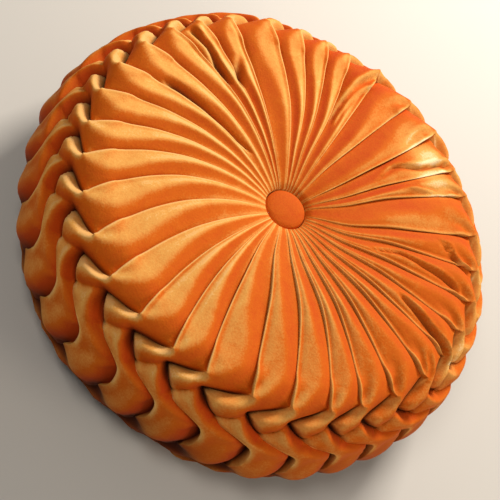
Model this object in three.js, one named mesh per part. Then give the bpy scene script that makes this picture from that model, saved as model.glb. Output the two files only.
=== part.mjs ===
// A round pumpkin cushion in pleated velvet: one filled cover, gathered to a covered button
// on its face and on its back, with a smocked band of interlocking folds round the rim.
// Millimetres, +Z up. The cushion lies on its back; the origin is on the surface, under its middle.
import * as THREE from 'three';

// Driving dimensions
const HALF_THICKNESS = 57.5;      // mid-plane above the surface, the back being pressed flat
const RIM_CENTRE_RADIUS = 140;    // where the face ends and the rim's round side begins
const RIM_DEPTH = 46;             // how far the rim's side stands out from there
const RIM_HALF_HEIGHT = 59;       // half the height of the rim's oval section
const MM_PER_DEGREE = 0.95;       // length of cloth per degree round the rim's section
const SEAT_RADIUS = 16.9;         // the well that holds each button
const SEAT_TOP_RADIUS = 17.4;
const SEAT_FLOOR = 37.6;          // above the mid-plane
const BUTTON_RADIUS = 16.4;
const BUTTON_FOOT = 38;           // above the mid-plane, 0.4 mm clear of the well's floor
const BUTTON_DOME = 46;
const BUTTON_SIDES = 40;
const OUTLINE_MIDDLE = { x: -0.31, y: -0.68 };    // seen from the buttons, as the pleats are uneven

// Section of the face from the button out to the rim: height above the mid-plane at each radius
const FACE = [
  { radius: 17.4, height: 44.6 },
  { radius: 24, height: 47.4 },
  { radius: 40, height: 52 },
  { radius: 60, height: 56 },
  { radius: 85, height: 58.6 },
  { radius: 115, height: 59.6 },
  { radius: 140, height: 59 },
];

// One row for each pleat, anticlockwise: the angle of its folded edge at the rim, half way in
// and at the button, how high it stands against the others, and how many degrees of wrap its
// smocking stitches have slipped by
const PLEATS = [
  { rim: 8.5, mid: 9, hub: 4, lift: 0.9, slip: 1 },
  { rim: 17, mid: 16.2, hub: 12.5, lift: 0.8, slip: -1.5 },
  { rim: 29.3, mid: 27, hub: 25, lift: 1.2, slip: 0.5 },
  { rim: 40.5, mid: 42.5, hub: 45, lift: 1.1, slip: 1.5 },
  { rim: 53.3, mid: 54, hub: 55, lift: 1, slip: -1 },
  { rim: 63.3, mid: 62.3, hub: 65, lift: 0.8, slip: 0.5 },
  { rim: 71, mid: 69.3, hub: 71.5, lift: 0.8, slip: -1.5 },
  { rim: 80, mid: 76.3, hub: 78.5, lift: 0.9, slip: 1 },
  { rim: 90, mid: 84.5, hub: 85, lift: 1.1, slip: 2 },
  { rim: 102, mid: 100.6, hub: 100, lift: 0.9, slip: -1 },
  { rim: 111.5, mid: 107.5, hub: 106, lift: 0.8, slip: -2 },
  { rim: 121.5, mid: 113.5, hub: 111.5, lift: 1, slip: 0.5 },
  { rim: 132, mid: 123.5, hub: 121, lift: 1.1, slip: 1.5 },
  { rim: 143, mid: 134.5, hub: 132, lift: 1.1, slip: -0.5 },
  { rim: 153, mid: 143.5, hub: 141, lift: 0.9, slip: -1.5 },
  { rim: 164, mid: 153, hub: 149, lift: 0.9, slip: 0.5 },
  { rim: 174, mid: 162.5, hub: 159, lift: 1, slip: 1.5 },
  { rim: 184.4, mid: 173.5, hub: 171, lift: 1.1, slip: -0.5 },
  { rim: 195.8, mid: 186.7, hub: 184, lift: 1.1, slip: 0.5 },
  { rim: 206.7, mid: 200.7, hub: 200, lift: 1.2, slip: -2.5 },
  { rim: 218, mid: 212.9, hub: 212, lift: 1, slip: 2 },
  { rim: 229, mid: 223, hub: 221, lift: 0.9, slip: 0.3 },
  { rim: 238.7, mid: 234, hub: 230, lift: 0.9, slip: 1.5 },
  { rim: 251.2, mid: 250.3, hub: 245, lift: 1.2, slip: 1.5 },
  { rim: 261.8, mid: 266, hub: 262, lift: 1.1, slip: -1.5 },
  { rim: 272.6, mid: 278, hub: 273, lift: 0.9, slip: -0.5 },
  { rim: 282, mid: 286.5, hub: 282.5, lift: 0.8, slip: 1 },
  { rim: 292.7, mid: 295, hub: 291, lift: 0.9, slip: 0.5 },
  { rim: 304.3, mid: 304.8, hub: 299, lift: 1, slip: -1 },
  { rim: 314, mid: 313, hub: 307.5, lift: 0.9, slip: -1.5 },
  { rim: 323.5, mid: 322.5, hub: 316, lift: 0.9, slip: 1.5 },
  { rim: 334, mid: 331, hub: 324, lift: 1, slip: 0 },
  { rim: 344.5, mid: 342, hub: 333, lift: 0.9, slip: -1 },
  { rim: 355.7, mid: 351.5, hub: 343, lift: 1, slip: 0.5 },
];
const HUB_RADIUS = 40;            // radii at which the table's hub, mid and rim angles are read
const MID_RADIUS = 83;
const RIM_READ_RADIUS = 160;

// The line along which each pleat laps its neighbour, from the face down to the widest part.
// wrap is the angle round the rim's section (90 is the top, 0 the side) and across is counted in
// pleats. The drops say how far the cloth dips into the lap on its left and right sides, reach
// how wide those dips are, and ground how low the cloth lies where no ridge lifts it.
const LAP = [
  { wrap: 90, across: 0, leftDrop: 3, rightDrop: 0, reach: 1.8, ground: -2.6 },
  { wrap: 74, across: 0.01, leftDrop: 3, rightDrop: 0, reach: 2, ground: -3 },
  { wrap: 66, across: 0.03, leftDrop: 2, rightDrop: 0, reach: 2, ground: -4 },
  { wrap: 64.2, across: 0.03, leftDrop: 0.5, rightDrop: 1, reach: 2, ground: -4.5 },
  { wrap: 63.2, across: -0.02, leftDrop: 0, rightDrop: 5, reach: 2, ground: -5.5 },
  { wrap: 59, across: -0.23, leftDrop: 0, rightDrop: 9, reach: 2.4, ground: -8 },
  { wrap: 55, across: -0.57, leftDrop: 0, rightDrop: 10, reach: 3, ground: -9 },
  { wrap: 52.2, across: -0.79, leftDrop: 6, rightDrop: 10, reach: 3.6, ground: -10 },
  { wrap: 50.3, across: -0.83, leftDrop: 10, rightDrop: 9, reach: 3.6, ground: -10 },
  { wrap: 42.4, across: -0.7, leftDrop: 10, rightDrop: 8, reach: 3, ground: -10 },
  { wrap: 36.5, across: -0.49, leftDrop: 9, rightDrop: 4, reach: 2.2, ground: -9 },
  { wrap: 34, across: -0.33, leftDrop: 8, rightDrop: 1, reach: 2, ground: -9 },
  { wrap: 32.6, across: -0.1, leftDrop: 8, rightDrop: 0, reach: 2, ground: -9 },
  { wrap: 31.3, across: 0.2, leftDrop: 8, rightDrop: 0, reach: 2.2, ground: -8 },
  { wrap: 29.3, across: 0.44, leftDrop: 9, rightDrop: 0, reach: 3, ground: -8 },
  { wrap: 25.5, across: 0.56, leftDrop: 10, rightDrop: 0, reach: 4.5, ground: -7 },
  { wrap: 19, across: 0.61, leftDrop: 10, rightDrop: 0, reach: 6, ground: -6 },
  { wrap: 11, across: 0.62, leftDrop: 9, rightDrop: 0, reach: 6, ground: -5 },
  { wrap: 4, across: 0.56, leftDrop: 7, rightDrop: 0, reach: 6, ground: -5 },
  { wrap: 0, across: 0.5, leftDrop: 6, rightDrop: 0, reach: 6, ground: -5 },
];

// Ridges of one pleat: place, height, and how steeply they fall on their inner and outer sides
const ROLL_RIDGE = [
  { across: 0.14, wrap: 210, height: 1.2, inner: 0.3, outer: 0.2 },
  { across: 0.2, wrap: 160, height: 1.6, inner: 0.3, outer: 0.2 },
  { across: 0.46, wrap: 120, height: 2, inner: 0.2, outer: 0.24 },
  { across: 0.62, wrap: 100, height: 2.6, inner: 0.18, outer: 0.3 },
  { across: 0.6, wrap: 86, height: 3.4, inner: 0.18, outer: 0.32 },
  { across: 0.48, wrap: 78, height: 4, inner: 0.2, outer: 0.3 },
  { across: 0.3, wrap: 72, height: 5, inner: 0.26, outer: 0.28 },
  { across: 0.12, wrap: 66.3, height: 6, inner: 0.6, outer: 0.34 },
  { across: 0, wrap: 60.8, height: 7, inner: 1.2, outer: 0.46 },
  { across: -0.17, wrap: 56, height: 7.4, inner: 1.8, outer: 0.6 },
  { across: -0.36, wrap: 53.5, height: 7, inner: 2, outer: 0.75 },
  { across: -0.53, wrap: 52.2, height: 6, inner: 2, outer: 0.85 },
  { across: -0.68, wrap: 52, height: 3, inner: 1.2, outer: 0.9 },
];
const LIP_RIDGE = [
  { across: 1.02, wrap: 68, height: -1, inner: 0.6, outer: 0.1 },
  { across: 0.9, wrap: 65, height: 0.2, inner: 0.6, outer: 0.12 },
  { across: 0.66, wrap: 61, height: 1.2, inner: 0.6, outer: 0.14 },
  { across: 0.4, wrap: 57.6, height: 1.4, inner: 0.6, outer: 0.2 },
  { across: 0.22, wrap: 54.5, height: 0.4, inner: 0.6, outer: 0.4 },
];
const RIB_RIDGE = [
  { across: 0.04, wrap: 50.5, height: 0, inner: 0.6, outer: 1.4 },
  { across: 0.08, wrap: 47.5, height: 4.5, inner: 0.5, outer: 2 },
  { across: 0.17, wrap: 43, height: 6.6, inner: 0.42, outer: 2.2 },
  { across: 0.29, wrap: 39.4, height: 7.4, inner: 0.36, outer: 2.2 },
  { across: 0.45, wrap: 36, height: 7.6, inner: 0.34, outer: 2.2 },
  { across: 0.65, wrap: 33, height: 7.4, inner: 0.3, outer: 2.2 },
  { across: 0.86, wrap: 30.6, height: 7, inner: 0.28, outer: 2 },
  { across: 1.05, wrap: 29, height: 6.2, inner: 0.3, outer: 1.6 },
  { across: 1.2, wrap: 28, height: 5, inner: 0.36, outer: 1.2 },
  { across: 1.34, wrap: 27, height: 3, inner: 0.5, outer: 0.8 },
];
const EDGE_RIDGE = [
  { across: -0.2, wrap: 35.4, height: 1.5, inner: 1, outer: 0.5 },
  { across: 0.06, wrap: 34.2, height: 3.2, inner: 1, outer: 0.4 },
  { across: 0.28, wrap: 33, height: 4.6, inner: 1, outer: 0.34 },
  { across: 0.5, wrap: 30.6, height: 5.6, inner: 1, outer: 0.32 },
  { across: 0.63, wrap: 26, height: 6, inner: 1, outer: 0.36 },
  { across: 0.69, wrap: 19, height: 5.4, inner: 1, outer: 0.4 },
  { across: 0.7, wrap: 11, height: 4.6, inner: 1, outer: 0.4 },
  { across: 0.64, wrap: 4, height: 4, inner: 1, outer: 0.4 },
  { across: 0.58, wrap: 0, height: 3.6, inner: 1, outer: 0.4 },
];
const LOBE_RIDGE = [
  { across: 0.9, wrap: 26, height: 3.2, inner: 0.26, outer: 0.3 },
  { across: 1.04, wrap: 19, height: 5.4, inner: 0.24, outer: 0.32 },
  { across: 1.1, wrap: 10, height: 6.6, inner: 0.24, outer: 0.32 },
  { across: 1.08, wrap: 3, height: 7.2, inner: 0.24, outer: 0.3 },
  { across: 1.06, wrap: 0, height: 7.2, inner: 0.24, outer: 0.3 },
];
const RIDGES = [
  { points: ROLL_RIDGE, crown: 1.6 },
  { points: LIP_RIDGE, crown: 4 },
  { points: RIB_RIDGE, crown: 1.5 },
  { points: EDGE_RIDGE, crown: 2 },
  { points: LOBE_RIDGE, crown: 6 },
];
const RIM_PLEAT_WIDTH = 33;       // cloth width of one pleat at the rim, for distances there
const BLEND = 0.8;                // softness where one fold runs into another

// The stitches slip most at this wrap angle, and less and less over the span to either side
const SLIP = { wrap: 46, span: 24 };

// The lobes hang over the next strip on the underside, and the laps there have drifted along
const UNDER = { wrap: -20, span: 13, depth: 12, reach: 13 };
const DRIFT = { from: 6, over: 36, shift: -0.5 };

// How finely the cover is divided: places across one pleat, and rows round its section
const ACROSS = [0.02, 0.16, 0.4, 0.64, 0.85, 0.98];
const FACE_ROWS = [17.4, 32, 60, 100];
const RIM_ROWS = [90, 75, 65, 62, 58, 54, 50.5, 44, 37, 34, 32, 29.5, 25, 14, 0];
const BACK_RIM_ROWS = [-14, -27, -37, -51, -68];
const BACK_ROWS = [130, 75, 17.4];

const radians = THREE.MathUtils.degToRad;

// Value of a column of a table at a place along another of its columns, in straight steps
function readTable(rows, along, column, at) {
  const rising = rows[rows.length - 1][along] > rows[0][along];
  const ordered = rising ? rows : [...rows].reverse();
  if (at <= ordered[0][along]) return ordered[0][column];
  for (let i = 1; i < ordered.length; i++) {
    const low = ordered[i - 1];
    const high = ordered[i];
    if (at <= high[along]) {
      const part = (at - low[along]) / (high[along] - low[along]);
      return low[column] + part * (high[column] - low[column]);
    }
  }
  return ordered[ordered.length - 1][column];
}

// Radius on the face that a wrap angle of more than 90 stands for
function faceRadius(wrap) {
  return RIM_CENTRE_RADIUS - (wrap - 90) * MM_PER_DEGREE;
}

function wrapAtRadius(radius) {
  return 90 + (RIM_CENTRE_RADIUS - radius) / MM_PER_DEGREE;
}

// The angle of a pleat's edge at a radius, straight between the table's three readings
function edgeAngle(index, radius) {
  const count = PLEATS.length;
  const turns = Math.floor(index / count);
  const pleat = PLEATS[index - turns * count];
  const [inner, outer, from, to] = radius < MID_RADIUS
    ? [pleat.hub, pleat.mid, HUB_RADIUS, MID_RADIUS]
    : [pleat.mid, pleat.rim, MID_RADIUS, RIM_READ_RADIUS];
  const part = THREE.MathUtils.clamp((radius - from) / (to - from), 0, 1);
  return turns * 360 + inner + (outer - inner) * part;
}

// The angle at any place counted in pleats, so that uneven pleats stay uneven
function angleAt(place, radius) {
  const index = Math.floor(place);
  const start = edgeAngle(index, radius);
  return start + (place - index) * (edgeAngle(index + 1, radius) - start);
}

// Signed distance in mm from a point to a line of table rows, with the row values found there.
// It is positive on the left of the line as it runs through its rows.
function nearest(rows, across, wrap, columns) {
  let best = { distance: Infinity };
  for (let i = 1; i < rows.length; i++) {
    const a = rows[i - 1];
    const b = rows[i];
    const ux = (b.across - a.across) * RIM_PLEAT_WIDTH;
    const uy = (b.wrap - a.wrap) * MM_PER_DEGREE;
    const px = (across - a.across) * RIM_PLEAT_WIDTH;
    const py = (wrap - a.wrap) * MM_PER_DEGREE;
    const length = Math.hypot(ux, uy);
    const part = THREE.MathUtils.clamp((px * ux + py * uy) / length ** 2, 0, 1);
    const distance = Math.hypot(px - part * ux, py - part * uy);
    if (distance < best.distance) {
      best = { distance, signed: (ux * py - uy * px) / length };
      for (const name of columns) best[name] = a[name] + part * (b[name] - a[name]);
    }
  }
  return best;
}

// How far the cloth dips at a distance from a lap
function dip(depth, distance, reach) {
  return depth * Math.exp(-((distance / reach) ** 1.5));
}

// Height of the cloth above the plain cushion form, at a place across one pleat
function relief(part, wrap, lift) {
  const { lerp, clamp } = THREE.MathUtils;
  const side = Math.abs(wrap);
  const across = readTable(LAP, 'wrap', 'across', side) + part;
  let sum = Math.exp(readTable(LAP, 'wrap', 'ground', side) / BLEND);
  for (const { points, crown } of RIDGES) {
    const near = nearest(points, across, side, ['height', 'inner', 'outer']);
    const fall = lerp(near.inner, near.outer, clamp(near.signed / 2, -1, 1) / 2 + 0.5);
    const drop = (Math.hypot(near.distance, crown) - crown) * fall;
    sum += Math.exp((near.height * lift - drop) / BLEND);
  }
  const left = nearest(LAP, across, Math.min(side, 90), ['rightDrop', 'reach']);
  const right = nearest(LAP, across - 1, Math.min(side, 90), ['leftDrop', 'reach']);
  const under = Math.exp(-(((wrap - UNDER.wrap) / UNDER.span) ** 2));
  const leftDepth = lerp(left.rightDrop, UNDER.depth, under);
  const leftReach = lerp(left.reach, UNDER.reach, under);
  const dips = dip(leftDepth, left.distance, leftReach)
    + dip(right.leftDrop * (1 - under), right.distance, right.reach);
  const radius = side > 90 ? faceRadius(side) : RIM_CENTRE_RADIUS;
  return (BLEND * Math.log(sum) - dips) * clamp((radius - 8) / 80, 0.15, 1);
}

// The wrap angle at which the smocking pattern is read, as its stitches slip from pleat to pleat
function patternWrap(index, part, wrap) {
  const next = PLEATS[(index + 1) % PLEATS.length];
  const slip = THREE.MathUtils.lerp(PLEATS[index].slip, next.slip, part);
  const near = Math.exp(-(((Math.abs(wrap) - SLIP.wrap) / SLIP.span) ** 2));
  return wrap - Math.sign(wrap) * slip * near;
}

// How many pleats the laps have drifted along by, below the widest part
function drift(wrap) {
  return DRIFT.shift * THREE.MathUtils.smoothstep(DRIFT.from - wrap, 0, DRIFT.over);
}

// A point of the cover. place counts pleats along the lap line, part lies across the pleat.
function coverPoint(index, part, wrap) {
  const side = Math.abs(wrap);
  const upper = wrap >= 0 ? 1 : -1;
  const pattern = patternWrap(index, part, wrap);
  const shift = readTable(LAP, 'wrap', 'across', Math.abs(pattern));
  const place = index + part + shift + drift(wrap);
  const height = relief(part, pattern, PLEATS[index].lift);
  let radius = faceRadius(side);
  let level = readTable(FACE, 'radius', 'height', radius);
  if (side > 90) {
    level += height;
  } else {
    const slope = radians(side);
    const stretch = Math.hypot(Math.cos(slope) / RIM_DEPTH, Math.sin(slope) / RIM_HALF_HEIGHT);
    radius = RIM_CENTRE_RADIUS + Math.cos(slope) * (RIM_DEPTH + height / RIM_DEPTH / stretch);
    level = Math.sin(slope) * (RIM_HALF_HEIGHT + height / RIM_HALF_HEIGHT / stretch);
  }
  const angle = radians(angleAt(place, Math.min(radius, RIM_READ_RADIUS)));
  return new THREE.Vector3(
    radius * Math.cos(angle),
    radius * Math.sin(angle),
    Math.max(HALF_THICKNESS + upper * level, 0),
  );
}

// The rows of the cover, from the foot of the front well to the foot of the back one
function coverRows() {
  const rows = [];
  const ring = (wrap) => {
    const row = [];
    PLEATS.forEach((pleat, index) => {
      for (const part of ACROSS) row.push(coverPoint(index, part, wrap));
    });
    return row;
  };
  const wellFoot = (row, level) => row.map((point) => {
    const angle = Math.atan2(point.y, point.x);
    return new THREE.Vector3(
      SEAT_RADIUS * Math.cos(angle), SEAT_RADIUS * Math.sin(angle), level);
  });
  for (const radius of FACE_ROWS) rows.push(ring(wrapAtRadius(radius)));
  for (const wrap of [...RIM_ROWS, ...BACK_RIM_ROWS]) rows.push(ring(wrap));
  for (const radius of BACK_ROWS) rows.push(ring(-wrapAtRadius(radius)));
  rows.unshift(wellFoot(rows[0], HALF_THICKNESS + SEAT_FLOOR));
  rows.push(wellFoot(rows[rows.length - 1], HALF_THICKNESS - SEAT_FLOOR));
  return rows;
}

// A closed skin over the rows, each square cut along its shorter diagonal
function skin(rows) {
  const points = [];
  const faces = [];
  const wide = rows[0].length;
  rows.forEach((row) => points.push(...row));
  const at = (i, j) => i * wide + (j % wide);
  for (let i = 1; i < rows.length; i++) {
    for (let j = 0; j < wide; j++) {
      const [a, b, c, d] = [at(i - 1, j), at(i - 1, j + 1), at(i, j + 1), at(i, j)];
      if (points[a].distanceTo(points[c]) < points[b].distanceTo(points[d])) {
        faces.push(a, d, c, a, c, b);
      } else {
        faces.push(a, d, b, b, d, c);
      }
    }
  }
  const top = points.push(new THREE.Vector3(0, 0, rows[0][0].z)) - 1;
  const bottom = points.push(new THREE.Vector3(0, 0, rows[rows.length - 1][0].z)) - 1;
  for (let j = 0; j < wide; j++) {
    faces.push(top, at(0, j), at(0, j + 1));
    faces.push(bottom, at(rows.length - 1, j + 1), at(rows.length - 1, j));
  }
  const geometry = new THREE.BufferGeometry().setFromPoints(points);
  geometry.setIndex(faces);
  geometry.computeVertexNormals();
  return geometry;
}

// A covered button: a flat foot, a round side and a low dome
function buttonGeometry() {
  const side = BUTTON_FOOT + (BUTTON_DOME - BUTTON_FOOT) * 0.5;
  const profile = [
    [0, BUTTON_FOOT],
    [BUTTON_RADIUS * 0.92, BUTTON_FOOT],
    [BUTTON_RADIUS * 0.99, BUTTON_FOOT + 1.4],
    [BUTTON_RADIUS, side],
    [BUTTON_RADIUS * 0.96, side + 1.5],
    [BUTTON_RADIUS * 0.82, side + 2.7],
    [BUTTON_RADIUS * 0.5, BUTTON_DOME - 0.5],
    [0, BUTTON_DOME],
  ].map(([radius, level]) => new THREE.Vector2(radius, level));
  const lathe = new THREE.LatheGeometry(profile, BUTTON_SIDES);
  return lathe.rotateX(Math.PI / 2);
}

const velvet = (color) => new THREE.MeshStandardMaterial({ color, roughness: 0.9, metalness: 0 });

const cushion = new THREE.Group();

const cover = new THREE.Mesh(skin(coverRows()), velvet('#d9681e'));
cover.name = 'cover';
cushion.add(cover);

const buttonFront = new THREE.Mesh(buttonGeometry(), velvet('#d4601a'));
buttonFront.name = 'button_front';
buttonFront.position.z = HALF_THICKNESS;
cushion.add(buttonFront);

const buttonBack = new THREE.Mesh(buttonGeometry(), velvet('#d4601a'));
buttonBack.name = 'button_back';
buttonBack.rotation.x = Math.PI;
buttonBack.position.z = HALF_THICKNESS;
cushion.add(buttonBack);

for (const piece of cushion.children) {
  piece.position.x = -OUTLINE_MIDDLE.x;
  piece.position.y = -OUTLINE_MIDDLE.y;
}

export default cushion;
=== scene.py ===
# %% [markdown]
# A round pumpkin cushion in orange velvet. The real one is a tube of velvet, smocked by hand round
# its rim so that the folds interlock like a plaited band, gathered in 34 pleats to the middle of
# each side, filled, and pulled in by a covered button front and back. This lesson loads the fixed
# model, sets the camera, shapes the cover fold by fold, then the buttons, the velvet and the light.

# %% Load the fixed model
import math

import bmesh
import bpy
import numpy as np
from mathutils import Matrix, Vector


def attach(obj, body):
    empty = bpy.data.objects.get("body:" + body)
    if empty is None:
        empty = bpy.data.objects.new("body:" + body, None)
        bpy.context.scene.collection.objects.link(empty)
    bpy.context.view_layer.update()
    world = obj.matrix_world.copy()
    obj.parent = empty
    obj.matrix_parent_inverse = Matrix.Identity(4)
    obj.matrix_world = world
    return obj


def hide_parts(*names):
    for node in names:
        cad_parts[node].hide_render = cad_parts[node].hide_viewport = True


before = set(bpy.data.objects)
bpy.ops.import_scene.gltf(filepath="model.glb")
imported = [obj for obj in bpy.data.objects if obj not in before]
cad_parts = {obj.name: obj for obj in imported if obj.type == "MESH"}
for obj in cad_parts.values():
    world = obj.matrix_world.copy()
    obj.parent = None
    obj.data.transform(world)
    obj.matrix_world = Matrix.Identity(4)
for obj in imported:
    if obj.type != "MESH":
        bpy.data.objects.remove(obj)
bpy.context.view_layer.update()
MM = 0.001

# %% [markdown]
# The camera looks down at the face from the height and turn that the cushion was seen at. Its place
# is worked out from angles round the cushion's mid-plane, with a longish lens, so the rim's far side
# is only a little smaller than the near one. Sizes are in mm until MM turns them into metres.

# %% Set the camera
HALF_THICKNESS = 57.5
CAMERA_RISE = math.radians(53.88)
CAMERA_TURN = math.radians(-45)
CAMERA_ROLL = math.radians(44.64)
CAMERA_DISTANCE = 843.2
LOOK_AT = Vector((-11.19, -14.3, HALF_THICKNESS))
FOCAL_LENGTH = 78.46
SENSOR_WIDTH = 36

back = Vector((
    math.sin(CAMERA_TURN) * math.cos(CAMERA_RISE),
    -math.cos(CAMERA_TURN) * math.cos(CAMERA_RISE),
    math.sin(CAMERA_RISE),
))
level_x = Vector((0, 0, 1)).cross(back).normalized()
level_y = back.cross(level_x)
camera_x = math.cos(CAMERA_ROLL) * level_x + math.sin(CAMERA_ROLL) * level_y
camera_y = math.cos(CAMERA_ROLL) * level_y - math.sin(CAMERA_ROLL) * level_x
camera_data = bpy.data.cameras.new("camera")
camera_data.lens = FOCAL_LENGTH
camera_data.sensor_width = SENSOR_WIDTH
camera = bpy.data.objects.new("camera", camera_data)
camera.matrix_world = (
    Matrix.Translation((LOOK_AT + back * CAMERA_DISTANCE) * MM)
    @ Matrix((camera_x, camera_y, back)).transposed().to_4x4()
)
bpy.context.collection.objects.link(camera)
bpy.context.scene.camera = camera
print("camera at", [round(value, 3) for value in camera.matrix_world.translation])

# %% [markdown]
# The plain form first. Across the face the section is a table of heights, because the button pulls
# it into a wide dish. Round the rim it is half an oval. A wrap angle walks along the whole section:
# over 90 on the face, 90 at its edge, 0 at the widest place, and the same below zero on the back.

# %% The plain form
RIM_CENTRE_RADIUS = 140
RIM_DEPTH = 46
RIM_HALF_HEIGHT = 59
MM_PER_DEGREE = 0.95
WELL_TOP_RADIUS = 17.4
FACE_TABLE = {
    "radius": (WELL_TOP_RADIUS, 24, 40, 60, 85, 115, 140),
    "height": (44.6, 47.4, 52, 56, 58.6, 59.6, 59),
}


def face_radius(wrap):
    """Radius on the face that a wrap angle of 90 or more stands for."""
    return RIM_CENTRE_RADIUS - (wrap - 90) * MM_PER_DEGREE


def wrap_at(radius):
    return 90 + (RIM_CENTRE_RADIUS - radius) / MM_PER_DEGREE


def plain_point(side, height):
    """Radius and level of the section at a wrap angle, raised by a height along its normal."""
    radius = face_radius(side)
    level = np.interp(radius, FACE_TABLE["radius"], FACE_TABLE["height"]) + height
    slope = np.radians(np.minimum(side, 90))
    stretch = np.hypot(np.cos(slope) / RIM_DEPTH, np.sin(slope) / RIM_HALF_HEIGHT)
    rim_radius = RIM_CENTRE_RADIUS + np.cos(slope) * (RIM_DEPTH + height / RIM_DEPTH / stretch)
    rim_level = np.sin(slope) * (RIM_HALF_HEIGHT + height / RIM_HALF_HEIGHT / stretch)
    on_face = side > 90
    return np.where(on_face, radius, rim_radius), np.where(on_face, level, rim_level)


print("plain form is", 2 * (RIM_CENTRE_RADIUS + RIM_DEPTH), "mm across")

# %% [markdown]
# Hand-made pleats are never even. Each row of this table is one pleat, anticlockwise: the angle of
# its folded edge at the rim, half way in and beside the button, how high it stands, how many
# degrees of wrap its stitches slipped by, and how clear its edge's bead and its neck's hollow are.

# %% The pleats
PLEAT_COLUMNS = ("rim", "mid", "hub", "lift", "slip", "bead", "hollow")
PLEATS = (
    (8.5, 9, 4, 0.9, 1, 0.5, 0.8),
    (17, 16.2, 12.5, 0.8, -1.5, 0.3, 0.6),
    (29.3, 27, 25, 1.2, 0.5, 0.9, 0.5),
    (40.5, 42.5, 45, 1.1, 1.5, 0.4, 0.7),
    (53.3, 54, 55, 1, -1, 0.7, 0.4),
    (63.3, 62.3, 65, 0.8, 0.5, 0.5, 0.2),
    (71, 69.3, 71.5, 0.8, -1.5, 0.8, 0.3),
    (80, 76.3, 78.5, 0.9, 1, 0.4, 0.1),
    (90, 84.5, 85, 1.1, 2, 0.6, 0.2),
    (102, 100.6, 100, 0.9, -1, 0.8, 0),
    (111.5, 107.5, 106, 0.8, -2, 0.5, 0.2),
    (121.5, 113.5, 111.5, 1, 0.5, 0.9, 0.1),
    (132, 123.5, 121, 1.1, 1.5, 0.3, 0.2),
    (143, 134.5, 132, 1.1, -0.5, 0.2, 0),
    (153, 143.5, 141, 0.9, -1.5, 0.3, 0.1),
    (164, 153, 149, 0.9, 0.5, 0.2, 0.2),
    (174, 162.5, 159, 1, 1.5, 0.1, 0.1),
    (184.4, 173.5, 171, 1.1, -0.5, 0.3, 0.2),
    (195.8, 186.7, 184, 1.1, 0.5, 0.2, 0.3),
    (206.7, 200.7, 200, 1.2, -2.5, 0.2, 0.3),
    (218, 212.9, 212, 1, 2, 1, 0.2),
    (229, 223, 221, 0.9, 0.3, 1, 0.2),
    (238.7, 234, 230, 0.9, 1.5, 0.9, 0.1),
    (251.2, 250.3, 245, 1.2, 1.5, 0.8, 0.6),
    (261.8, 266, 262, 1.1, -1.5, 0.9, 0.5),
    (272.6, 278, 273, 0.9, -0.5, 1, 0.5),
    (282, 286.5, 282.5, 0.8, 1, 1, 0.9),
    (292.7, 295, 291, 0.9, 0.5, 0.9, 1),
    (304.3, 304.8, 299, 1, -1, 0.7, 0.9),
    (314, 313, 307.5, 0.9, -1.5, 0.8, 1),
    (323.5, 322.5, 316, 0.9, 1.5, 0.4, 0.8),
    (334, 331, 324, 1, 0, 0.6, 1),
    (344.5, 342, 333, 0.9, -1, 0.9, 0.8),
    (355.7, 351.5, 343, 1, 0.5, 0.4, 0.9),
)
PLEAT_COUNT = len(PLEATS)
pleats = dict(zip(PLEAT_COLUMNS, np.array(PLEATS, dtype=float).T))
print(PLEAT_COUNT, "pleats")

# %% [markdown]
# From the button outwards an edge first swings to its place half way in, then runs on to its place
# at the rim, and the bend between the two is rounded. Places between two edges are counted in
# pleats, so a narrow pleat stays narrow all the way down.

# %% The folded edges
HUB_RADIUS = 40
MID_RADIUS = 83
RIM_READ_RADIUS = 160
ROUNDED_OVER = 18
HUB_SWING = 0.4


def eased(part):
    """A part from 0 to 1 that starts and ends gently."""
    return part * part * (3 - 2 * part)


def rounded_ramp(distance):
    """A ramp that starts at zero distance, with its corner rounded."""
    corner = (distance + ROUNDED_OVER) ** 2 / (4 * ROUNDED_OVER)
    return np.where(np.abs(distance) < ROUNDED_OVER, corner, np.maximum(distance, 0))


def edge_angle(index, radius):
    """The angle of a pleat's folded edge at a radius, from three readings along it."""
    turns, row = np.divmod(index, PLEAT_COUNT)
    rim, mid, hub = (pleats[name][row] for name in ("rim", "mid", "hub"))
    inner = np.maximum(1 - rounded_ramp(MID_RADIUS - radius) / (MID_RADIUS - HUB_RADIUS), 0)
    outer = np.minimum(rounded_ramp(radius - MID_RADIUS) / (RIM_READ_RADIUS - MID_RADIUS), 1)
    inner = eased(inner) * HUB_SWING + inner * (1 - HUB_SWING)
    return turns * 360 + hub + (mid - hub) * inner + (rim - mid) * outer


def angle_at(place, radius):
    """The angle at a radius of any place counted in pleats."""
    index = np.floor(place).astype(int)
    start = edge_angle(index, radius)
    return start + (place - index) * (edge_angle(index + 1, radius) - start)


rim_edges = edge_angle(np.arange(PLEAT_COUNT + 1), RIM_READ_RADIUS)
print("pleats are", np.diff(rim_edges).min().round(1), "to", np.diff(rim_edges).max().round(1),
      "degrees wide at the rim")

# %% [markdown]
# The smocking is what makes the rim. Every pleat laps over its neighbour along one line. On the face
# that line runs straight out to the neck; there two stitches drag it sideways, back again, and on to
# the widest place. Each row gives how far across the line lies, in pleat widths, how far the cloth
# drops on either side of it and over what reach, in mm, how far the upper edge hangs over the lower
# one, and how low the ground between the folds is.

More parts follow.
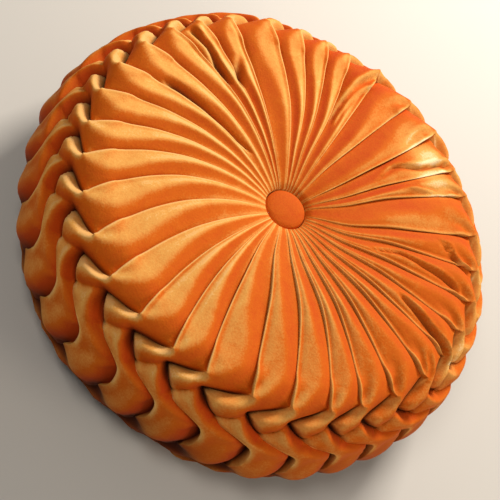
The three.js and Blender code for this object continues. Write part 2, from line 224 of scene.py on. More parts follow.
# %% The lap line
LAP_COLUMNS = ("wrap", "across", "left_drop", "right_drop", "reach", "over", "ground")
LAP = (
    (220, 0, 2.2, 0, 1.4, 0.8, -1.5),
    (120, 0, 2.6, 0, 1.6, 1.1, -2.2),
    (90, 0, 3, 0, 1.8, 1.1, -2.6),
    (74, 0.01, 3, 0, 2, 1.1, -3),
    (66, 0.03, 2, 0, 2, 1, -4),
    (64.2, 0.03, 0.5, 1, 2, 0.6, -4.5),
    (63.2, -0.02, 3.4, 4, 3.2, 0.4, -5.5),
    (59, -0.23, 7.5, 7, 3.8, 0.3, -8),
    (55, -0.57, 8.5, 8, 4, 0.3, -9),
    (52.2, -0.79, 9, 9, 4.2, 0.3, -10),
    (50.3, -0.83, 10, 9, 3.6, 0.3, -10),
    (42.4, -0.7, 10, 8, 3, 0.4, -10),
    (36.5, -0.49, 9, 4, 2.2, 0.8, -9),
    (34, -0.33, 8, 1, 2, 1.1, -9),
    (32.6, -0.1, 8, 0, 2, 1.3, -9),
    (31.3, 0.2, 8, 0, 2.2, 1.5, -8),
    (29.3, 0.44, 9, 0, 3, 1.6, -8),
    (25.5, 0.56, 10, 0, 4.5, 1.6, -7),
    (19, 0.61, 10, 0, 6, 1.5, -6),
    (11, 0.62, 9, 0, 6, 1.4, -5),
    (4, 0.56, 7, 0, 6, 1.2, -5),
    (0, 0.5, 6, 0, 6, 1.2, -5),
)
print("lap line has", len(LAP), "rows")

# %% [markdown]
# Between the laps the cloth rises into folds: a roll that crosses the neck, its lip, a rib, the edge
# that the rib turns into, and a puffed lobe at the widest place. A row is a point on the fold's
# crest, with its height and how steeply the cloth falls on its inner and outer side. The crown says
# over how many mm the crest itself is round.

# %% The ridges of one pleat
RIDGE_COLUMNS = ("across", "wrap", "height", "inner", "outer")
ROLL_RIDGE = (
    (0.14, 210, 1.2, 0.3, 0.2),
    (0.2, 160, 1.6, 0.3, 0.2),
    (0.46, 120, 2, 0.2, 0.24),
    (0.62, 100, 2.6, 0.18, 0.3),
    (0.6, 86, 3.4, 0.18, 0.32),
    (0.48, 78, 4, 0.2, 0.3),
    (0.3, 72, 5, 0.26, 0.28),
    (0.12, 66.3, 6, 0.6, 0.34),
    (0, 60.8, 6.8, 1.2, 0.42),
    (-0.17, 56, 7.1, 1.7, 0.54),
    (-0.36, 53.5, 6.8, 1.9, 0.66),
    (-0.53, 52.2, 6, 1.95, 0.78),
    (-0.68, 52, 3, 1.2, 0.9),
)
LIP_RIDGE = (
    (1.02, 68, -1, 0.6, 0.1),
    (0.9, 65, 0.2, 0.6, 0.12),
    (0.66, 61, 1.2, 0.6, 0.14),
    (0.4, 57.6, 1.4, 0.6, 0.2),
    (0.22, 54.5, 0.4, 0.6, 0.4),
)
RIB_RIDGE = (
    (0.04, 50.5, 0, 0.6, 1.4),
    (0.08, 47.5, 4.5, 0.8, 2),
    (0.17, 43, 6.6, 0.8, 2.2),
    (0.29, 39.4, 7.4, 0.76, 2.2),
    (0.45, 36, 7.6, 0.66, 2.2),
    (0.65, 33, 7.4, 0.5, 2.2),
    (0.86, 30.6, 7, 0.36, 2),
    (1.05, 29, 6.2, 0.3, 1.6),
    (1.2, 28, 5, 0.36, 1.2),
    (1.34, 27, 3, 0.5, 0.8),
)
EDGE_RIDGE = (
    (-0.2, 35.4, 1.5, 1, 0.5),
    (0.06, 34.2, 3.2, 1, 0.4),
    (0.28, 33, 4.6, 1, 0.34),
    (0.5, 30.6, 5.6, 1, 0.32),
    (0.63, 26, 6, 1, 0.36),
    (0.69, 19, 5.4, 1, 0.4),
    (0.7, 11, 4.6, 1, 0.4),
    (0.64, 4, 4, 1, 0.4),
    (0.58, 0, 3.6, 1, 0.4),
)
LOBE_RIDGE = (
    (0.9, 26, 3.2, 0.26, 0.3),
    (1.04, 19, 5.4, 0.24, 0.32),
    (1.1, 10, 6.6, 0.24, 0.32),
    (1.08, 3, 7.2, 0.24, 0.3),
    (1.06, 0, 7.2, 0.24, 0.3),
)
RIDGES = (
    {"points": ROLL_RIDGE, "crown": 1.9},
    {"points": LIP_RIDGE, "crown": 4},
    {"points": RIB_RIDGE, "crown": 1.5},
    {"points": EDGE_RIDGE, "crown": 2},
    {"points": LOBE_RIDGE, "crown": 6},
)
print(len(RIDGES), "ridges, the highest", max(row[2] for row in ROLL_RIDGE + RIB_RIDGE), "mm")

# %% [markdown]
# Two lines are cut in: a crease beside the rib, and a hollow where each pleat narrows to its neck.

# %% The crease and the hollow
CREASE_COLUMNS = ("across", "wrap", "depth")
CREASE = (
    (0.16, 50.8, 0.5),
    (0.01, 47.3, 2.8),
    (-0.19, 40.3, 3.2),
    (-0.4, 34.8, 3.2),
)
CREASE_REACH = 1.8
HOLLOW = (
    (0.3, 96, 0.3),
    (0.25, 84, 2.4),
    (0.16, 75, 4),
    (0.06, 68.5, 3.4),
)
HOLLOW_REACH = 3.2
print("crease is", max(row[2] for row in CREASE), "mm deep")

# %% [markdown]
# A smooth curve runs through each table's rows. A point's distance to such a curve, and the values
# found where it is nearest, are all that the folds are made from.

# %% Curves through the tables
RIM_PLEAT_WIDTH = 33
CURVE_STEPS = 5


def smooth_table(rows, names):
    """A table's columns along a smooth curve through its rows."""
    points = np.array(rows, dtype=float)
    ends = np.vstack((2 * points[0] - points[1], points, 2 * points[-1] - points[-2]))
    steps = np.linspace(0, 1, CURVE_STEPS, endpoint=False)[:, None]
    pieces = []
    for before, start, end, after in zip(ends, ends[1:], ends[2:], ends[3:]):
        slope_in = (end - before) / 2
        slope_out = (after - start) / 2
        pieces.append(
            start
            + slope_in * steps
            + (3 * (end - start) - 2 * slope_in - slope_out) * steps**2
            + (2 * (start - end) + slope_in + slope_out) * steps**3
        )
    curve = np.vstack((*pieces, points[-1:]))
    return dict(zip(names, curve.T))


def nearest(curve, across, wrap, names):
    """Distance in mm from points to a curve, the same signed, and its values found there."""
    distance = np.full(across.shape, np.inf)
    signed = np.zeros(across.shape)
    found = {name: np.zeros(across.shape) for name in names}
    for i in range(len(curve["wrap"]) - 1):
        run_x = (curve["across"][i + 1] - curve["across"][i]) * RIM_PLEAT_WIDTH
        run_y = (curve["wrap"][i + 1] - curve["wrap"][i]) * MM_PER_DEGREE
        from_x = (across - curve["across"][i]) * RIM_PLEAT_WIDTH
        from_y = (wrap - curve["wrap"][i]) * MM_PER_DEGREE
        length = run_x * run_x + run_y * run_y
        part = np.clip((from_x * run_x + from_y * run_y) / length, 0, 1)
        away = np.hypot(from_x - part * run_x, from_y - part * run_y)
        closer = away < distance
        distance = np.where(closer, away, distance)
        beside = (run_x * from_y - run_y * from_x) / math.sqrt(length)
        signed = np.where(closer, beside, signed)
        for name in names:
            value = curve[name][i] + part * (curve[name][i + 1] - curve[name][i])
            found[name] = np.where(closer, value, found[name])
    return distance, signed, found


lap = smooth_table(LAP, LAP_COLUMNS)
crease_line = smooth_table(CREASE, CREASE_COLUMNS)
hollow_line = smooth_table(HOLLOW, CREASE_COLUMNS)
for ridge in RIDGES:
    ridge["curve"] = smooth_table(ridge["points"], RIDGE_COLUMNS)


def lap_value(side, name):
    return np.interp(side, lap["wrap"][::-1], lap[name][::-1])


print("lap line is a curve of", len(lap["wrap"]), "points")

# %% [markdown]
# The relief is the height of the cloth over the plain form, the highest of the slopes that fall from
# the ridges. Exponentials give a soft maximum, so two folds run into each other in a crease instead
# of a knife edge. It dips into the lap on the side that goes under, much wider under the rim, where
# the cloth hangs in rounds. A folded edge on the face is a bead with a shallow valley beside it. All
# of it fades towards the button, where the pleats are only a few millimetres wide.

# %% Height of the cloth
BLEND = 0.8
FALL_TURNS_OVER = 2
DIP_POWER = 1.5
UNDER_AT = -20
UNDER_REACH = 13
UNDER_DEPTH = 12
UNDER_WIDTH = 13
EDGE_FROM = 64
EDGE_OVER = 10
BEAD = {"height": 0.9, "at": 0.9, "width": 0.9}
VALLEY = {"height": 1.1, "at": 3.6, "width": 1.6}
FADE_FROM = 8
FADE_LENGTH = 80
FADE_LEAST = 0.15


def bell(value):
    """A bell curve, 1 at zero and next to nothing past two."""
    return np.exp(-value * value)


def ridges_height(across, side, lift):
    """The soft maximum of the ground and the slopes of every ridge."""
    total = np.exp(lap_value(side, "ground") / BLEND)
    for ridge in RIDGES:
        distance, signed, found = nearest(
            ridge["curve"], across, side, ("height", "inner", "outer"))
        even = np.clip(signed / FALL_TURNS_OVER, -1, 1) / 2 + 0.5
        fall = found["inner"] + (found["outer"] - found["inner"]) * even
        drop = (np.hypot(distance, ridge["crown"]) - ridge["crown"]) * fall
        total = total + np.exp((found["height"] * lift - drop) / BLEND)
    return BLEND * np.log(total)


def lap_dip(across, side, wrap):
    """How deep the cloth dips beside the lap lines, and how far the left one is."""
    left, _, left_found = nearest(lap, across, side, ("right_drop", "reach"))
    right, _, right_found = nearest(lap, across - 1, side, ("left_drop", "reach"))
    under = bell((wrap - UNDER_AT) / UNDER_REACH)
    left_depth = left_found["right_drop"] * (1 - under) + UNDER_DEPTH * under
    left_reach = left_found["reach"] * (1 - under) + UNDER_WIDTH * under
    dip = left_depth * np.exp(-((left / left_reach) ** DIP_POWER))
    right_depth = right_found["left_drop"] * (1 - under)
    dip += right_depth * np.exp(-((right / right_found["reach"]) ** DIP_POWER))
    return dip, left


def relief(part, wrap, pleat):
    """Height of the cloth in mm at a part of the way across a pleat."""
    side = np.abs(wrap)
    across = lap_value(side, "across") + part
    dip, from_edge = lap_dip(across, side, wrap)
    for pleats_on in (0, 1):
        away, _, found = nearest(crease_line, across - pleats_on, side, ("depth",))
        dip += found["depth"] * np.exp(-away / CREASE_REACH)
    on_face = np.clip((side - EDGE_FROM) / EDGE_OVER, 0, 1)
    bead = BEAD["height"] * bell((from_edge - BEAD["at"]) / BEAD["width"])
    bead -= VALLEY["height"] * bell((from_edge - VALLEY["at"]) / VALLEY["width"])
    dip -= bead * pleat["bead"] * on_face
    away, _, found = nearest(hollow_line, across, side, ("depth",))
    dip += found["depth"] * pleat["hollow"] * bell(away / HOLLOW_REACH)
    radius = np.where(side > 90, face_radius(side), RIM_CENTRE_RADIUS)
    fade = np.clip((radius - FADE_FROM) / FADE_LENGTH, FADE_LEAST, 1)
    return (ridges_height(across, side, pleat["lift"]) - dip) * fade


# %% [markdown]
# Where the filling is uneven the cloth also folds between the pleats. Each row names such a fold's
# line by turn and wrap, how far its bead stands up on one side, and how deep its groove is. Towards
# the button the folds narrow as the pleats do.

# %% Stray folds
STRAY_FOLDS = (
    {"line": ((60.6, 121), (59, 100), (57.2, 87), (54.7, 71), (51.7, 54)),
     "rise": 3, "sink": 2.6, "side": -1, "bead": 2.6, "groove": 2.4},
    {"line": ((58.6, 150), (58.3, 129), (57.2, 113), (55.4, 98), (53.3, 84)),
     "rise": 1.6, "sink": 1.6, "side": -1, "bead": 1.5, "groove": 1.8},
    {"line": ((61.8, 150), (60.7, 131), (59.6, 112)),
     "rise": 0, "sink": 3, "side": -1, "bead": 1, "groove": 1.6},
    {"line": ((31, 105), (32.4, 89), (32.2, 73)),
     "rise": 2, "sink": 1.4, "side": -1, "bead": 2.4, "groove": 2},
    {"line": ((18.9, 153), (22.4, 142), (24.4, 130), (22.7, 119), (20.9, 104), (20.6, 90),
              (19.7, 66)),
     "rise": 2.4, "sink": 3, "side": -1, "bead": 2, "groove": 2},
    {"line": ((13.5, 130), (11.8, 115), (10.3, 103), (9, 94)),
     "rise": 1.8, "sink": 1, "side": 1, "bead": 1.6, "groove": 1.6},
    {"line": ((331.7, 165), (335.3, 154), (338.4, 141), (338.3, 131), (337.6, 119), (337.4, 103),
              (336.2, 90), (334.8, 76)),
     "rise": 1.6, "sink": 3.4, "side": -1, "bead": 1.8, "groove": 2},
    {"line": ((350.6, 106), (349.2, 98), (346.2, 90), (343.9, 80), (343, 66)),
     "rise": 2.2, "sink": 2.8, "side": -1, "bead": 2, "groove": 2},
    {"line": ((318.9, 128), (318.4, 112), (317.6, 100), (316.4, 83), (316, 68), (314, 57)),
     "rise": 2, "sink": 4.4, "side": -1, "bead": 2, "groove": 2},
    {"line": ((310.3, 82), (308.3, 69), (306.7, 62), (304.2, 55)),
     "rise": 1, "sink": 3, "side": -1, "bead": 2.4, "groove": 2.6},
    {"line": ((103.6, 104), (105, 115), (107, 124), (107.6, 133)),
     "rise": 0, "sink": 3.6, "side": 1, "bead": 2, "groove": 3},
    {"line": ((115.4, 66), (115, 82), (113.8, 93), (113.8, 102), (114, 114), (112.8, 128)),
     "rise": 1.4, "sink": 5, "side": 1, "bead": 2.4, "groove": 2.6},
    {"line": ((139.2, 100), (137.2, 117), (136.2, 127), (135.2, 137), (134.8, 147), (133.2, 159),
              (131, 175), (127, 188)),
     "rise": 1.4, "sink": 5.4, "side": -1, "bead": 2.6, "groove": 2.6},
)
EASE_OVER = 9
EASE_BEYOND = 2
STRAY_FULL_RADIUS = 120
STRAY_LEAST = 0.3
BEAD_LEANS = 0.4


def nearest_on_line(line, around, wrap, arc):
    """Distance in mm from each point to a fold's line, and the side of it that the point is on."""
    best = np.full(wrap.shape, np.inf)
    side = np.zeros(wrap.shape)
    for i in range(len(line["wrap"]) - 1):
        run_x = (line["turn"][i + 1] - line["turn"][i]) * arc
        run_y = (line["wrap"][i + 1] - line["wrap"][i]) * MM_PER_DEGREE
        from_x = (around - line["turn"][i]) * arc
        from_y = (wrap - line["wrap"][i]) * MM_PER_DEGREE
        length = run_x * run_x + run_y * run_y
        part = np.clip((from_x * run_x + from_y * run_y) / length, 0, 1)
        away = np.hypot(from_x - part * run_x, from_y - part * run_y)
        closer = away < best
        best = np.where(closer, away, best)
        side = np.where(closer, np.sign(from_x - part * run_x), side)
    return best, side


def stray_height(turn, wrap, radius):
    """Height in mm that the stray folds add, each easing in and out over its ends."""
    total = np.zeros(turn.shape)
    arc = np.radians(1) * radius
    narrow = np.clip(radius / STRAY_FULL_RADIUS, STRAY_LEAST, 1)
    for fold in STRAY_FOLDS:
        line = smooth_table(fold["line"], ("turn", "wrap"))
        middle = line["turn"][len(line["turn"]) // 2]
        around = (turn - middle + 180) % 360 - 180 + middle
        distance, side = nearest_on_line(line, around, wrap, arc)
        offset = distance * side * fold["side"] / narrow
        bead = fold["rise"] * bell((offset + fold["bead"] * BEAD_LEANS) / fold["bead"])
        groove = fold["sink"] * bell((offset - fold["groove"]) / fold["groove"])
        from_end = np.minimum(wrap - min(line["wrap"]), max(line["wrap"]) - wrap) * MM_PER_DEGREE
        ease = eased(np.clip((from_end + EASE_BEYOND) / EASE_OVER, 0, 1))
        total += (bead - groove) * ease * narrow
    return total


print(len(STRAY_FOLDS), "stray folds")

# %% [markdown]
# Now the mesh. A flat grid is made by one operator and bent into the cushion: its columns follow the
# pleats, close together at the folded edges, and its rows follow the section, close together where
# the smocking turns.

# %% Places of the columns and rows
ACROSS = (0, 0.015, 0.045, 0.09, 0.15, 0.22, 0.3, 0.38, 0.46, 0.54,
          0.62, 0.7, 0.78, 0.86, 0.93, 0.975, 1)
FACE_ROW_STEP = 5
ROW_SPANS = (
    {"start": 90, "end": 68, "step": 2},
    {"start": 68, "end": 50, "step": 0.6},
    {"start": 50, "end": 36, "step": 1},
    {"start": 36, "end": 26, "step": 0.4},
    {"start": 26, "end": -26, "step": 1.8},
    {"start": -26, "end": -90, "step": 3},
)
BACK_ROW_STEP = 15


def cover_wraps():
    face = np.arange(WELL_TOP_RADIUS, RIM_CENTRE_RADIUS, FACE_ROW_STEP)
    wraps = list(wrap_at(face))
    for span in ROW_SPANS:
        count = round(abs(span["start"] - span["end"]) / span["step"])
        wraps += list(np.linspace(span["start"], span["end"], count, endpoint=False))
    underside = np.arange(RIM_CENTRE_RADIUS, WELL_TOP_RADIUS, -BACK_ROW_STEP)
    wraps += list(-wrap_at(underside)) + [-wrap_at(WELL_TOP_RADIUS)]
    return np.array(wraps)


print("rows at", len(cover_wraps()), "places along the section")

# %% [markdown]
# The stitches are put in by hand, so each pleat's knot has slipped a little along the section, more
# at the knot than beside it. On the back the pleats drift over by half a pleat.

# %% Slip and drift
SLIP_AT = 46
SLIP_REACH = 24
DRIFT_FROM = 6
DRIFT_OVER = 36
BACK_DRIFT = -0.5


def slipped(wrap, index, part):
    """The wrap in the even pattern of the point that lies at a wrap of the cushion."""
    start = pleats["slip"][index]
    end = pleats["slip"][(index + 1) % PLEAT_COUNT]
    slip = start * (1 - part) + end * part
    return wrap - np.sign(wrap) * slip * bell((np.abs(wrap) - SLIP_AT) / SLIP_REACH)


def drift_at(wrap):
    return BACK_DRIFT * eased(np.clip((DRIFT_FROM - wrap) / DRIFT_OVER, 0, 1))


print("the back drifts by", drift_at(-90), "pleats")

# %% [markdown]
# At each lap the two edges pass each other a little, so the upper cloth really hangs over the lower
# one. How far apart they stand in height decides how far they pass, square to the lap line.

# %% How the laps pass
LAP_SLIT = 0.12
STEP_FROM = 1
STEP_OVER = 2
SLANT_MOST = 8
LAP_FADE = 2.5
FACE_SIDE = 89


def lap_shift(height, wraps):
    """How far each point moves over or under its lap, in pleats and in degrees of wrap."""
    edge = height.reshape(len(wraps), PLEAT_COUNT, len(ACROSS))
    step = np.abs(edge[:, :, 0] - np.roll(edge[:, :, -1], 1, axis=1))
    over_left = np.clip((step - STEP_FROM) / STEP_OVER, 0, 1)
    over_right = np.roll(over_left, -1, axis=1)
    sides = np.abs(wraps)
    over = lap_value(sides, "over")[:, None]
    from_left = np.array(ACROSS) * RIM_PLEAT_WIDTH
    near_left = np.exp(-from_left / LAP_FADE)
    near_right = np.exp(-(RIM_PLEAT_WIDTH - from_left) / LAP_FADE)
    passed = (
        (over * over_right - LAP_SLIT)[:, :, None] * near_right
        - (over * over_left - LAP_SLIT)[:, :, None] * near_left
    )
    slant = lap_value(sides + 0.5, "across") - lap_value(np.maximum(sides - 0.5, 0), "across")
    slant = np.clip(slant * RIM_PLEAT_WIDTH / MM_PER_DEGREE, -SLANT_MOST, SLANT_MOST)
    slant = slant[:, None, None]
    to_side = 1 / np.hypot(1, slant)
    to_wrap = -slant / np.hypot(1, slant)
    shift_side = passed * to_side / RIM_PLEAT_WIDTH
    shift_wrap = passed * to_wrap / MM_PER_DEGREE
    shift_wrap = np.where(sides[:, None, None] > FACE_SIDE, 0, shift_wrap)
    return shift_side.reshape(height.shape), shift_wrap.reshape(height.shape)


print("a lap is", 2 * LAP_SLIT, "mm open where its edges are level")

# %% [markdown]
# With these the cover's points are worked out, a row for each place along the section. The back is
# held at the floor's level, so it is flat where the cushion lies on it.

# %% The points of the cover


def cover_points():
    """Every point of the cover in mm, with its height, the stray folds' share of it, and wrap."""
    wraps = cover_wraps()
    index = np.repeat(np.arange(PLEAT_COUNT), len(ACROSS))
    wrap, part = np.meshgrid(wraps, np.tile(ACROSS, PLEAT_COUNT), indexing="ij")
    side = np.abs(wrap)
    pattern = slipped(wrap, index, part)
    pleat = {name: np.broadcast_to(pleats[name][index], wrap.shape) for name in PLEAT_COLUMNS}
    height = relief(part, pattern, pleat)
    shift_side, shift_wrap = lap_shift(height, wraps)
    place = index + part + lap_value(np.abs(pattern), "across") + shift_side + drift_at(wrap)
    radius = plain_point(side, height)[0]
    turn = angle_at(place, np.minimum(radius, RIM_READ_RADIUS))
    stray = np.where(wrap > 0, stray_height(turn, wrap, radius), 0)
    height = height + stray
    radius, level = plain_point(side + shift_wrap, height)
    angle = np.radians(angle_at(place, np.minimum(radius, RIM_READ_RADIUS)))
    rise = HALF_THICKNESS + np.where(wrap < 0, -level, level)
    points = np.stack((radius * np.cos(angle), radius * np.sin(angle), np.maximum(rise, 0)), -1)
    return points, height, stray, wrap


points, height, stray, wrap = cover_points()
print("cover has", points.shape[0], "rows of", points.shape[1])

# %% [markdown]
# Four readings of the shape go into the mesh as attributes for the velvet to use. The first is the
# pile sheen. The nap runs round the cushion, so how a flank slopes that way is painted as sheen,
# pale gold on one side of a fold and deep orange on the other. The painted sheen is damped round one
# turn of the cushion, stronger on the rim, and paler on one side of the whole cushion. Cloth that
# lies low on the rim, or hangs under it, gets painted shade, and a stray fold's groove counts as
# deeper than it is for that shade.

# %% Reading of the pile sheen and its painted shade
# Painted sheen: how far a flank's slope round the cushion turns it gold or deep orange.
PILE_SHEEN_FULL = 0.42
PILE_SHEEN_SHARE = 0.75
# The painted sheen is damped round this turn of the cushion.
SHEEN_DAMPED_TURN = 322
SHEEN_DAMPED_WIDTH = 65
SHEEN_DAMPED_BY = 0.78
# The painted sheen is paler on one side of the whole cushion.
SHEEN_SIDE_TURN = 165
SHEEN_SIDE_OVER = 0.36
RIM_FROM = 60
RIM_OVER = 20
RIM_MORE = 0.25
# Painted shade: a lower sheen level on cloth lying low on the rim and under it.
RIM_SHADE_LEAN = -0.24
UNDER_SHADE_LEAN = -0.6
UNDER_SHADE_LEAN_FROM = 18
UNDER_SHADE_LEAN_OVER = 22
CROWN_HEIGHT = 7.5
CROWN_FALL = 6
LOW_LEAST = 0.15
STRAY_SHADE = 0.6


def turn_from(turn, centre):
    """Degrees from one turn to another, the short way round."""
    return (turn - centre + 180) % 360 - 180


def on_rim(wrap):
    """A share that is 0 on the face and 1 on the rim."""
    return np.clip((RIM_FROM - wrap) / RIM_OVER, 0, 1)


def lowness(height):
    """A share that is least on the crowns of the folds and 1 in the laps."""
    return np.clip((CROWN_HEIGHT - height) / CROWN_FALL, LOW_LEAST, 1)


def cloth_normals(points):
    across = np.roll(points, -1, axis=1) - np.roll(points, 1, axis=1)
    down = np.gradient(points, axis=0)
    normal = np.cross(down, across)
    return normal / np.maximum(np.linalg.norm(normal, axis=2), 1e-9)[:, :, None]


def pile_sheen_reading(points, normal, turn, height, wrap):
    around = np.stack((-points[:, :, 1], points[:, :, 0], 0 * points[:, :, 0]), -1)
    around /= np.linalg.norm(around, axis=2)[:, :, None]
    pile_sheen = np.clip(-np.sum(normal * around, axis=2) / PILE_SHEEN_FULL, -1, 1)
    sheen_damped = bell(turn_from(turn, SHEEN_DAMPED_TURN) / SHEEN_DAMPED_WIDTH)
    pile_sheen = pile_sheen * PILE_SHEEN_SHARE * (1 - SHEEN_DAMPED_BY * sheen_damped) * (1 + RIM_MORE * on_rim(wrap))
    # Painted sheen, paler on one side of the cushion, then painted shade on low cloth of the rim.
    brushed_sheen = SHEEN_SIDE_OVER * np.cos(np.radians(turn - SHEEN_SIDE_TURN))
    pile_sheen += brushed_sheen * (1 - on_rim(wrap) / 2) + RIM_SHADE_LEAN * on_rim(wrap) * lowness(height)
    # Painted shade on low cloth under the rim.
    under = np.clip((UNDER_SHADE_LEAN_FROM - wrap) / UNDER_SHADE_LEAN_OVER, 0, 1)
    return pile_sheen + UNDER_SHADE_LEAN * lowness(height) * under


normal = cloth_normals(points)
turn = np.degrees(np.arctan2(points[:, :, 1], points[:, :, 0]))
radius = np.hypot(points[:, :, 0], points[:, :, 1])
shade_height = height + STRAY_SHADE * np.minimum(stray, 0)
pile_sheen = pile_sheen_reading(points, normal, turn, shade_height, wrap)
print("pile leans from", pile_sheen.min().round(2), "to", pile_sheen.max().round(2))

# %% [markdown]
# The splay highlight is how sharply the cloth bends over a fold, where the pile opens; such bends
# are painted paler, as a painted highlight. The beads of the folded edges get a painted glint as
# well, most on the right as the camera sees them, and the necks, where stitches hold the pile down,
# hardly do.

# %% Reading of the splay highlight
SPLAY_HIGHLIGHT_FULL = 0.38
GLINT_SHARE = 1.6
GLINT_TURN = 5
GLINT_WIDTH = 65
GLINT_FROM_EDGE = 1.1
GLINT_REACH = 1.2
NECK_AT = 65
NECK_REACH = 3
NECK_SHARE = 0.8


# Painted highlight on convex bends and a painted glint on the beads, less at the necks.
def splay_highlight_reading(points, normal, turn, wrap):
    bend = np.linalg.norm(np.roll(normal, -1, axis=1) - np.roll(normal, 1, axis=1), axis=2)
    ahead = np.roll(points, -1, axis=1) - points
    behind = np.roll(points, 1, axis=1) - points
    length = np.linalg.norm(ahead, axis=2) + np.linalg.norm(behind, axis=2)
    convex = -np.sum(normal * (ahead + behind), axis=2)
    splay_highlight = np.clip(np.where(convex > 0, bend / length, 0) / SPLAY_HIGHLIGHT_FULL, 0, 1)
    from_edge = np.tile(ACROSS, PLEAT_COUNT) * RIM_PLEAT_WIDTH
    beaded = np.repeat(pleats["bead"], len(ACROSS))
    glint = beaded * bell((from_edge - GLINT_FROM_EDGE) / GLINT_REACH)
    glint = GLINT_SHARE * glint * bell(turn_from(turn, GLINT_TURN) / GLINT_WIDTH)
    splay_highlight += glint * (1 - on_rim(wrap))
    return splay_highlight * (1 - NECK_SHARE * bell((wrap - NECK_AT) / NECK_REACH))


splay_highlight = np.minimum(splay_highlight_reading(points, normal, turn, wrap), 1)
print("splay is full at", int((splay_highlight == 1).sum()), "points")

# %% [markdown]
# Crease is painted shade: cloth is darkened the deeper it lies in a lap or the further it hangs
# under the rim. Lustre is a painted highlight of light caught by the pile: four soft patches, dulled
# in the stray folds' grooves.

# %% Readings of the painted crease shade and the painted lustre
# Painted shade: darker the lower a point lies in a lap, and under the rim.
CREASE_SHADE_FROM = -1.5
CREASE_SHADE_FULL = 5.5
UNDER_SHADE = 0.95
UNDER_SHADE_FROM = 24
UNDER_SHADE_OVER = 32
# Painted highlights: soft patches of light painted on, by turn and radius.
LIT_PATCHES = (
    {"turn": 21, "width": 13, "radius": 136, "reach": 18, "share": 1},
    {"turn": 345, "width": 24, "radius": 174, "reach": 12, "share": 0.45},
    {"turn": 318, "width": 8, "radius": 168, "reach": 12, "share": 0.5},
    {"turn": 357, "width": 4, "radius": 105, "reach": 42, "share": 0.3},
)
LIT_DULL_FROM = -0.1
LIT_DULL_OVER = 1.6
LIT_DULL_MOST = 0.8


def crease_shade_reading(height, wrap):
    crease = np.clip((CREASE_SHADE_FROM - height) / CREASE_SHADE_FULL, 0, 1)
    under = np.clip((UNDER_SHADE_FROM - wrap) / UNDER_SHADE_OVER, 0, 1)
    return crease + UNDER_SHADE * lowness(height) * under


def painted_lustre_reading(turn, radius, stray):
    lit = np.zeros(turn.shape)
    for patch in LIT_PATCHES:
        near = bell(turn_from(turn, patch["turn"]) / patch["width"])
        lit += patch["share"] * near * bell((radius - patch["radius"]) / patch["reach"])
    return lit * (1 - np.clip((LIT_DULL_FROM - stray) / LIT_DULL_OVER, 0, LIT_DULL_MOST))


def averaged(values, times):
    """Averages a grid of values with its neighbours, the columns being a closed ring."""
    for _ in range(times):
        across = (np.roll(values, 1, axis=1) + np.roll(values, -1, axis=1)) / 2
        down = np.copy(values)
        down[1:-1] = (values[:-2] + values[2:]) / 2
        values = (2 * values + across + down) / 4
    return values


readings = {
    "pile_sheen": averaged(pile_sheen, 1),
    "splay_highlight": averaged(splay_highlight, 2),
    "crease": averaged(np.minimum(crease_shade_reading(shade_height, wrap), 1), 1),
    "painted_lustre": np.minimum(painted_lustre_reading(turn, radius, stray), 1),
}
for name, values in readings.items():
    print(name, "runs from", round(float(values.min()), 2), "to", round(float(values.max()), 2))

# %% [markdown]
# The grid is bent now. Its first and last two rows go down the walls and in over the floors of the
# two wells that the buttons sit in. The last column lies on the first, the two are merged, and each
# well's floor is closed by a fan. The buttons' axis stands a little off the origin, as in the solids.

# %% Bend a grid into the cover
BUTTONS_AT = (0.31, 0.68)
WELL_ROWS = 2
WELL_RADIUS = 16.9
WELL_INNER_RADIUS = 8
WELL_FLOOR = 37.6


def well_row(row, level, radius):
    """A ring at a level, with a point under each point of a row."""
    around = row[:, :2] / np.linalg.norm(row[:, :2], axis=1)[:, None]
    return np.column_stack((around * radius, np.full(len(row), level)))


def add_wells(points):
    radii = (WELL_INNER_RADIUS, WELL_RADIUS)
    front = [well_row(points[0], HALF_THICKNESS + WELL_FLOOR, radius) for radius in radii]
    rear = [well_row(points[-1], HALF_THICKNESS - WELL_FLOOR, radius) for radius in radii[::-1]]
    return np.concatenate((front, points, rear))


def bend_grid(bm, points, readings):
    rows, columns = points.shape[:2]
    layers = {name: bm.verts.layers.float.new(name) for name in readings}
    bmesh.ops.create_grid(bm, x_segments=columns, y_segments=rows - 1, size=1)
    for vert in bm.verts:
        column = round((vert.co.x + 1) / 2 * columns) % columns
        row = round((1 - vert.co.y) / 2 * (rows - 1))
        vert.co = (points[row, column] + (*BUTTONS_AT, 0)) * MM
        for name, layer in layers.items():
            vert[layer] = readings[name][row, column]
    bmesh.ops.remove_doubles(bm, verts=bm.verts, dist=1e-7)
    rims = [edge for edge in bm.edges if edge.is_boundary]
    caps = bmesh.ops.holes_fill(bm, edges=rims, sides=0)["faces"]
    bmesh.ops.poke(bm, faces=caps)
    bmesh.ops.recalc_face_normals(bm, faces=bm.faces)


def finish_mesh(bm, name):
    mesh = bpy.data.meshes.new(name)
    bm.to_mesh(mesh)
    bm.free()
    mesh.shade_smooth()
    piece = bpy.data.objects.new(name, mesh)
    bpy.context.collection.objects.link(piece)
    return piece


bm = bmesh.new()
padded_readings = {
    name: np.pad(values, ((WELL_ROWS, WELL_ROWS), (0, 0)), mode="edge")
    for name, values in readings.items()
}
bend_grid(bm, add_wells(points), padded_readings)
bmesh.ops.triangulate(bm, faces=bm.faces, quad_method="SHORT_EDGE")
cover = finish_mesh(bm, "velvet_cover")
print("cover has", len(cover.data.polygons), "triangles")

# %% [markdown]
# The buttons are spun from a short profile: a flat foot, a round side and a low dome. A row is a
# radius and a level over the cushion's mid-plane.

# %% The covered buttons
BUTTON_STEPS = 64
BUTTON_PROFILE = (
    (0, 38), (15.1, 38), (16.2, 39.4), (16.4, 41.5), (16.1, 43), (15, 44.1),
    (12.5, 44.9), (8.5, 45.6), (4, 45.95), (0, 46),
)


